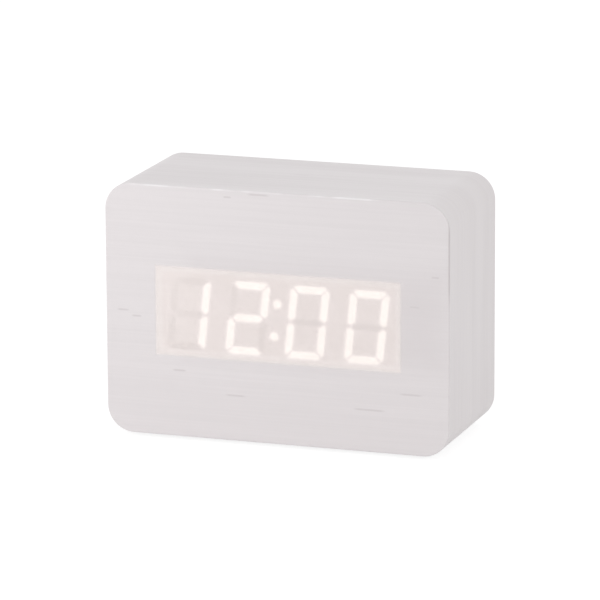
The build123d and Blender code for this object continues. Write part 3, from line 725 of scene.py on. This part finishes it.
def plated_metal(name, light, dark, waves, depth, roughness):
    """Metal with a thin plating: its material, nodes, shader, colour and roughness."""
    material, tree, shader = new_material(name, Metallic=1.0)
    plate = use_effect(tree, plating, {"Position": object_position(tree), "Waves": waves})
    colour = blend_colours(tree, plate["Tone"], seen(*dark), seen(*light))
    ends = [roughness + change for change in plate_roughness]
    rough = smooth_step(tree, plate["Tone"], 0, 1, *ends)
    connect(tree, shader, {"Base Color": colour, "Roughness": rough})
    emboss(tree, shader, plate["Height"], depth)
    return material, tree, shader, colour, rough


tinned, *_ = plated_metal(
    "tinned",
    light=(214, 213, 208),
    dark=(188, 187, 182),
    waves=4000,
    depth=0.004 * mm,
    roughness=0.3,
)
dress(tinned, "chip_legs", "display_pins", "clock_crystal", "power_socket_pin", "backup_cell_clip")

steel, *_ = plated_metal(
    "cell_steel",
    light=(212, 211, 206),
    dark=(192, 191, 186),
    waves=6000,
    depth=0.004 * mm,
    roughness=0.28,
)
dress(steel, "backup_cell")


def slant(tree, first, second):
    """The distance that two steps at right angles make together."""
    squares = [maths(tree, "MULTIPLY", step, step) for step in (first, second)]
    return maths(tree, "SQRT", maths(tree, "ADD", *squares))


# The microphone's can has a disc of dark felt in the middle of its face
felt_dark = seen(30, 30, 32)
felt_radius = 2.4 * mm
felt_depth = 0.1 * mm
can_low, can_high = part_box("microphone")
can_middle = (can_low + can_high) / 2
drawn_can, tree, shader, colour, rough = plated_metal(
    "drawn_can",
    light=(222, 222, 220),
    dark=(200, 200, 198),
    waves=5000,
    depth=0.004 * mm,
    roughness=0.3,
)
x, y, z = parts_of(tree, object_position(tree))
across = maths(tree, "SUBTRACT", x, can_middle.x)
up = maths(tree, "SUBTRACT", z, can_middle.z)
on_face = maths(tree, "GREATER_THAN", y, can_high.y - felt_depth)
felt = maths(tree, "LESS_THAN", slant(tree, across, up), felt_radius)
felt = maths(tree, "MULTIPLY", felt, on_face)
connect(tree, shader, {"Base Color": blend_colours(tree, felt, colour, felt_dark)})
connect(tree, shader, {"Metallic": maths(tree, "SUBTRACT", 1.0, felt)})
connect(tree, shader, {"Roughness": maths(tree, "MAXIMUM", rough, felt)})
dress(drawn_can, "microphone")

# Each capacitor's sleeve has a pale stripe down its outer side and leaves its top bare
capacitor_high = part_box("board_capacitors")[1]
capacitor_radius = 3.15 * mm
stripe_from = 1.9 * mm
stripe_colour = seen(170, 174, 190)
print_edge = 0.1 * mm
bare_top = 0.15 * mm
sleeve, tree, shader, colour = moulded_plastic(
    "capacitor_sleeve",
    light=(36, 42, 78),
    dark=(28, 32, 64),
    waves=900,
    depth=0.01 * mm,
    roughness=0.3,
)
x, y, z = parts_of(tree, object_position(tree))
outward = maths(tree, "ABSOLUTE", x)
outward = maths(tree, "SUBTRACT", outward, capacitor_high.x - capacitor_radius)
striped = smooth_step(tree, outward, stripe_from, stripe_from + print_edge)
bare_to = capacitor_high.y - bare_top
bare = smooth_step(tree, y, bare_to - print_edge, bare_to)
colour = blend_colours(tree, striped, colour, stripe_colour)
connect(tree, shader, {"Base Color": blend_colours(tree, bare, colour, tin), "Metallic": bare})
dress(sleeve, "board_capacitors")

# Leads: a grey ribbon of twelve wires to the rear board, and one red and one black wire
# from the battery contacts, all in soft vinyl and soldered at both ends.

ribbon_low, ribbon_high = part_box("board_ribbon")
ribbon_wires = 12
wire_waves = ribbon_wires / (ribbon_high.x - ribbon_low.x)
wire_height = 0.3 * mm
groove_share = 0.3
groove_shade_grey = seen(110, 110, 114)
first_wire_red = seen(170, 40, 36)
ribbon_vinyl, tree, shader, colour = moulded_plastic(
    "ribbon_vinyl",
    light=(172, 172, 176),
    dark=(156, 156, 160),
    waves=900,
    depth=0.01 * mm,
    roughness=0.5,
)
x, y, z = parts_of(tree, object_position(tree))
turns = maths(tree, "MULTIPLY", maths(tree, "SUBTRACT", x, ribbon_low.x), wire_waves * 2 * np.pi)
ribs = maths(tree, "MULTIPLY_ADD", maths(tree, "COSINE", turns), -0.5, 0.5)
first_wire = maths(tree, "LESS_THAN", x, ribbon_low.x + 1 / wire_waves)
marked = blend_colours(tree, first_wire, colour, first_wire_red)
# Painted shade darkens the grooves between the wires
groove_shade = smooth_step(tree, ribs, 0, groove_share, 1, 0)
connect(tree, shader, {"Base Color": blend_colours(tree, groove_shade, marked, groove_shade_grey)})
emboss(tree, shader, ribs, wire_height)
dress(ribbon_vinyl, "board_ribbon")

for name, node, light, dark in (
    ("lead_red", "battery_lead_positive", (190, 40, 34), (168, 30, 26)),
    ("lead_black", "battery_lead_negative", (40, 40, 42), (28, 28, 30)),
):
    vinyl, *_ = moulded_plastic(name, light, dark, waves=1200, depth=0.01 * mm, roughness=0.4)
    dress(vinyl, node)

# Back: a moulded panel with the tray welded behind it, a door pressed into it and zinc-plated
# screws in its corners. Panel, tray and door are off-white plastic with a spark texture.

back_plastic, *_ = moulded_plastic(
    "back_plastic",
    light=(228, 225, 221),
    dark=(224, 221, 217),
    waves=2600,
    depth=0.035 * mm,
    roughness=0.55,
)
dress(back_plastic, "back_panel", "battery_tray", "battery_door")

zinc, *_ = plated_metal(
    "zinc",
    light=(204, 204, 200),
    dark=(176, 176, 172),
    waves=3500,
    depth=0.006 * mm,
    roughness=0.34,
)
dress(zinc, "board_screws", "rear_board_screws", "panel_screws")

# Moulded marks: a ring, a triangle up and a triangle down by the keys, and a ring and a bar
# for the two places of the sound switch, each raised from the panel, softly bevelled and
# stamped grey.

grey_stamp, *_ = moulded_plastic(
    "grey_stamp",
    light=(158, 158, 161),
    dark=(148, 148, 151),
    waves=2600,
    depth=0.01 * mm,
    roughness=0.45,
)
panel_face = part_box("back_panel")[1].y
mark_rise = 0.25 * mm
mark_root = 0.05 * mm
mark_bevel = 0.12 * mm
mark_size = 1.25 * mm
mark_line = 0.22 * mm
mark_above_key = 3.2 * mm
mark_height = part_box("set_button")[1].z + mark_above_key
ring_steps = 48
bead_steps = 12


def raised_mark(name, across, outline):
    """A convex outline, x and z about its middle, carried up from the panel to a bevelled top.

    The rings of points are the outline at the root, the outline just under the top and the
    outline drawn in by the bevel at the top. A flat face closes each end.
    """
    outline = np.asarray(outline)
    reach = np.linalg.norm(outline, axis=1).max()
    rings = [(1, -mark_root), (1, mark_rise - mark_bevel), (1 - mark_bevel / reach, mark_rise)]
    count = len(outline)
    points = [
        np.column_stack(
            [
                across + share * outline[:, 0],
                np.full(count, panel_face + rise),
                mark_height + share * outline[:, 1],
            ]
        )
        for share, rise in rings
    ]
    faces = grid_faces(len(rings), count)
    faces.append(list(range(2 * count, 3 * count)))
    faces.append(list(range(count))[::-1])
    return new_piece(name, np.concatenate(points), faces, grey_stamp, "clock")


def raised_ring(name, across, radius):
    """A round bead bent into a ring: a circle of points carried round a larger circle."""
    around = np.linspace(0, 2 * np.pi, ring_steps, endpoint=False)[:, None]
    bead = np.linspace(0, 2 * np.pi, bead_steps, endpoint=False)[None, :]
    out = radius + mark_line * np.cos(bead)
    points = np.stack(
        [
            across + out * np.cos(around),
            panel_face + mark_rise * np.sin(bead) + 0 * around,
            mark_height + out * np.sin(around),
        ],
        axis=-1,
    )
    faces = grid_faces(ring_steps, bead_steps, closed_rows=True)
    return new_piece(name, points.reshape(-1, 3), faces, grey_stamp, "clock")


def key_middle(node):
    """How far across a key's middle lies."""
    low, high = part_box(node)
    return (low.x + high.x) / 2


triangle_angles = np.radians([210, 90, -30])
triangle_size = 1.15 * mark_size
triangle = triangle_size * np.column_stack([np.cos(triangle_angles), np.sin(triangle_angles)])
raised_ring("set_mark", key_middle("set_button"), mark_size)
raised_mark("up_mark", key_middle("up_button"), triangle)
raised_mark("down_mark", key_middle("down_button"), triangle[::-1] * (1, -1))

switch_mark_size = 0.8 * mark_size
switch_mark_gap = 0.2 * mm
bar_half = 0.25
bar = np.array([[-bar_half, -1], [-bar_half, 1], [bar_half, 1], [bar_half, -1]])
slider_low, slider_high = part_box("sound_switch_knob")
slider_travel = 2 * mm
slider_end = slider_high.x + slider_travel
raised_ring("sound_off_mark", slider_low.x - switch_mark_gap, switch_mark_size)
raised_mark("sound_on_mark", slider_end + switch_mark_gap, switch_mark_size * bar)

# Keys: light grey caps with a satin top, which sit in the panel's holes on the plungers. The
# sound switch's knob is of the same plastic and has ridges for a fingertip.

key_plastic, *_ = moulded_plastic(
    "key_plastic",
    light=(172, 172, 175),
    dark=(162, 162, 165),
    waves=2200,
    depth=0.012 * mm,
    roughness=0.4,
)
dress(key_plastic, "set_button", "up_button", "down_button")

ridge_count = 3
ridge_depth = 0.35 * mm
ridge_points = 8


def ridged_knob():
    """The knob's side view, across and back, carried along Z.

    Its top follows the absolute sine of the way across, which makes three round ridges.
    """
    across = np.linspace(0, 1, ridge_count * ridge_points + 1)
    top = slider_high.y - ridge_depth * (1 - np.abs(np.sin(np.pi * ridge_count * across)))
    width = slider_high.x - slider_low.x
    profile = np.column_stack([slider_low.x + width * across, top])
    foot = [[slider_high.x, slider_low.y], [slider_low.x, slider_low.y]]
    profile = np.concatenate([profile, foot])
    count = len(profile)
    ends = [
        np.column_stack([profile, np.full(count, level)]) for level in (slider_low.z, slider_high.z)
    ]
    faces = grid_faces(2, count)
    faces += [list(range(count))[::-1], list(range(count, 2 * count))]
    return np.concatenate(ends), faces


points, faces = ridged_knob()
knob = new_piece("ridged_knob", points, faces, key_plastic, "sound_slider")
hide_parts("sound_switch_knob")

# Battery door: a plain plate of the panel's plastic, pressed into its opening. Three raised
# ribs for a fingernail lie in the hollow of its grip.

door_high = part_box("battery_door")[1]
grip_depth = 0.6 * mm
grip_below_top = 3.1 * mm
grip_floor = door_high.y - grip_depth
grip_middle = door_high.z - grip_below_top
rib_length = 8.6 * mm
rib_reach = 0.22 * mm
rib_rise = 0.34 * mm
rib_pitch = 0.8 * mm
rib_steps = 33
rib_sides = 16
rib_fullness = 12


def grip_rib(level):
    """A round rib along X, whose radius is the root of 1 less a high power of the way out."""
    along = np.linspace(-1, 1, rib_steps)[:, None]
    round_it = np.linspace(0, 2 * np.pi, rib_sides, endpoint=False)[None, :]
    size = np.sqrt(1 - np.abs(along) ** rib_fullness)
    points = np.stack(
        [
            rib_length / 2 * along + 0 * round_it,
            grip_floor + rib_rise * size * np.sin(round_it),
            level + rib_reach * size * np.cos(round_it),
        ],
        axis=-1,
    )
    return points.reshape(-1, 3)


ribs = [grip_rib(grip_middle + place * rib_pitch) for place in (-1, 0, 1)]
rib_faces = np.array(grid_faces(rib_steps, rib_sides))
faces = np.concatenate([rib_faces + len(ribs[0]) * count for count in range(len(ribs))])
new_piece("door_grip_ribs", np.concatenate(ribs), faces, back_plastic, "door")

# Battery bay: three dry cells in plain shrunk sleeves, nickel contact plates, and springs
# wound from nickel-plated wire, wide at the plate and narrow at the cell.

nickel, *_ = plated_metal(
    "nickel",
    light=(214, 209, 198),
    dark=(190, 185, 174),
    waves=5000,
    depth=0.004 * mm,
    roughness=0.26,
)
dress(nickel, "contact_plates")

# Each cell, and which way along X its positive end points
cells = {"upper": -1, "middle": 1, "lower": -1}
sleeve_light = (96, 104, 116)
sleeve_dark = (86, 94, 106)
sleeve_band = seen(206, 208, 206)
bare_metal = seen(206, 204, 198)
bare_end_radius = 4.3 * mm
positive_band = 6 * mm
ring_gap = 1.2 * mm
ring_line = 0.5 * mm


def cell_sleeve(node, positive):
    """A plain sleeve with a pale band at the positive end, bare metal on the end faces."""
    low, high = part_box(node)
    middle = (low + high) / 2
    tip = high.x if positive > 0 else low.x
    material, tree, shader, colour = moulded_plastic(
        node, sleeve_light, sleeve_dark, waves=500, depth=0.006 * mm, roughness=0.28
    )
    x, y, z = parts_of(tree, object_position(tree))
    from_tip = maths(tree, "ABSOLUTE", maths(tree, "SUBTRACT", x, tip))
    band = smooth_step(tree, from_tip, positive_band, positive_band + print_edge, 1, 0)
    gap = maths(tree, "ABSOLUTE", maths(tree, "SUBTRACT", from_tip, positive_band + ring_gap))
    ring = smooth_step(tree, gap, ring_line, ring_line + print_edge, 1, 0)
    up = maths(tree, "SUBTRACT", z, middle.z)
    back = maths(tree, "SUBTRACT", y, middle.y)
    radius = slant(tree, up, back)
    bare = smooth_step(tree, radius, bare_end_radius, bare_end_radius + print_edge, 1, 0)
    colour = blend_colours(tree, maths(tree, "MAXIMUM", band, ring), colour, sleeve_band)
    colour = blend_colours(tree, bare, colour, bare_metal)
    connect(tree, shader, {"Base Color": colour, "Metallic": bare})
    dress(material, node)


for name, positive in cells.items():
    cell_sleeve(f"battery_cell_{name}", positive)

spring_turns = 5
spring_wire = 0.28 * mm
spring_base_radius = 3.1 * mm
spring_tip_radius = 1.5 * mm
spring_inset = 0.3 * mm
spring_steps = 160
spring_sides = 10


def wound_spring(start, end, height, depth):
    """A conical coil along X: a small circle carried along a helix that narrows steadily.

    The first and last turns lie nearly flat, as the way along follows an eased step.
    """
    way = np.linspace(0, 1, spring_steps)
    angle = 2 * np.pi * spring_turns * way
    eased = way * way * (3 - 2 * way)
    radius = spring_base_radius + (spring_tip_radius - spring_base_radius) * way
    out = np.stack([0 * way, np.cos(angle), np.sin(angle)], axis=1)
    centre = np.stack([start + (end - start) * eased, 0 * way + depth, 0 * way + height], axis=1)
    centre += radius[:, None] * out
    along = np.gradient(centre, axis=0)
    along /= np.linalg.norm(along, axis=1)[:, None]
    across = np.cross(along, out)
    across /= np.linalg.norm(across, axis=1)[:, None]
    outward = np.cross(across, along)
    turn = np.linspace(0, 2 * np.pi, spring_sides, endpoint=False)[None, :, None]
    rim = np.cos(turn) * outward[:, None, :] + np.sin(turn) * across[:, None, :]
    return (centre[:, None, :] + spring_wire * rim).reshape(-1, 3)


springs = []
bay_low, bay_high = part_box("contact_springs")
for name, positive in cells.items():
    low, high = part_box(f"battery_cell_{name}")
    flat_end = low.x if positive > 0 else high.x
    plate = bay_low.x if positive > 0 else bay_high.x
    start = plate + positive * spring_inset
    end = flat_end - positive * spring_inset
    springs.append(wound_spring(start, end, (low.z + high.z) / 2, (low.y + high.y) / 2))
tube = grid_faces(spring_steps, spring_sides)
caps = [
    list(range(spring_sides))[::-1],
    list(range((spring_steps - 1) * spring_sides, spring_steps * spring_sides)),
]
faces = []
for count in range(len(springs)):
    first = count * spring_steps * spring_sides
    faces += [[first + corner for corner in face] for face in tube + caps]
wound = new_piece(
    "wound_springs", np.concatenate(springs), faces, nickel, "clock"
)
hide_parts("contact_springs")

# Studio table: a pale floor that the camera sees as white apart from the clock's shadow, a
# soft lamp close by in front at the left, one farther off at the right and white all round.

floor_reach = 4.0
paper_white = (0.88, 0.88, 0.88, 1)
shadow_catching = (0.25, 0.25, 0.25, 1)
full_white = (1, 1, 1, 1)
floor_lift = 0.86


def looked_at(tree):
    """1 for the rays that show a surface to the camera, straight, mirrored or through glass."""
    light_path = add(tree, "LightPath", {}).outputs
    shown = maths(tree, "MAXIMUM", light_path["Is Camera Ray"], light_path["Is Glossy Ray"])
    return maths(tree, "MAXIMUM", shown, light_path["Is Transmission Ray"])


floor_material = bpy.data.materials.new("floor")
floor_material.use_nodes = True
tree = floor_material.node_tree
tree.nodes.clear()
paper = add(tree, "BsdfDiffuse", {"Color": paper_white}).outputs[0]
pale = add(tree, "BsdfDiffuse", {"Color": shadow_catching}).outputs[0]
lift = add(tree, "Emission", {"Color": full_white, "Strength": floor_lift}).outputs[0]
shown = add(tree, "AddShader", {0: pale, 1: lift}).outputs[0]
mixed = add(tree, "MixShader", {0: looked_at(tree), 1: paper, 2: shown}).outputs[0]
add(tree, "OutputMaterial", {"Surface": mixed})
floor_mesh = bpy.data.meshes.new("floor")
floor_corners = floor_reach * np.array([[-1, -1, 0], [1, -1, 0], [1, 1, 0], [-1, 1, 0]])
floor_mesh.from_pydata(floor_corners.tolist(), [], [[0, 1, 2, 3]])
floor_mesh.materials.append(floor_material)
floor = bpy.data.objects.new("floor", floor_mesh)
bpy.context.scene.collection.objects.link(floor)

surroundings = 0.8
world = bpy.data.worlds.new("studio")
bpy.context.scene.world = world
world.use_nodes = True
tree = world.node_tree
strength = maths(tree, "MULTIPLY_ADD", looked_at(tree), 1 - surroundings, surroundings)
connect(tree, tree.nodes["Background"], {"Color": full_white, "Strength": strength})

middle = (sheet_low + sheet_high) / 2
middle.y = 0


def soft_lamp(name, place, size, power, colour):
    """A square lamp that faces the clock's middle, with its size in metres, power in watts."""
    light = bpy.data.lights.new(name, "AREA")
    light.size = size
    light.energy = power
    light.color = colour
    lamp = bpy.data.objects.new(name, light)
    lamp.location = place
    lamp.rotation_euler = (middle - Vector(place)).to_track_quat("-Z", "Y").to_euler()
    bpy.context.scene.collection.objects.link(lamp)


soft_lamp(
    "window_lamp", place=(-0.26, -0.38, 0.14), size=0.25, power=0.42, colour=(1.0, 0.99, 0.995)
)
soft_lamp("fill_lamp", place=(1.0, 0.0, 0.08), size=0.4, power=0.5, colour=(1.0, 0.94, 0.9))

# Camera: a long lens from the right and a little above, fitted to the clock's outline. Its
# focal length and the width of its picture are in millimetres, as cameras give them.

focal_length = 300
picture_width = 36
farthest_seen = 20
view_azimuth = np.radians(18.876)
view_elevation = np.radians(13.527)
view_roll = np.radians(-0.278)
view_distance = 1.398
aim_across = -0.34 * mm
aim_up = 0.51 * mm

back = Vector(
    (
        np.sin(view_azimuth) * np.cos(view_elevation),
        -np.cos(view_azimuth) * np.cos(view_elevation),
        np.sin(view_elevation),
    )
)
across = Vector((np.cos(view_azimuth), np.sin(view_azimuth), 0))
up = back.cross(across)
lens = bpy.data.cameras.new("camera")
lens.lens = focal_length
lens.sensor_width = picture_width
lens.clip_end = farthest_seen
camera = bpy.data.objects.new("camera", lens)
camera.location = middle + back * view_distance
aim = middle + across * aim_across + up * aim_up
facing = (aim - camera.location).to_track_quat("-Z", "Y")
camera.rotation_mode = "QUATERNION"
camera.rotation_quaternion = facing @ Quaternion((0, 0, 1), view_roll)
bpy.context.scene.collection.objects.link(camera)
bpy.context.scene.camera = camera
bpy.context.scene.view_settings.view_transform = "Standard"
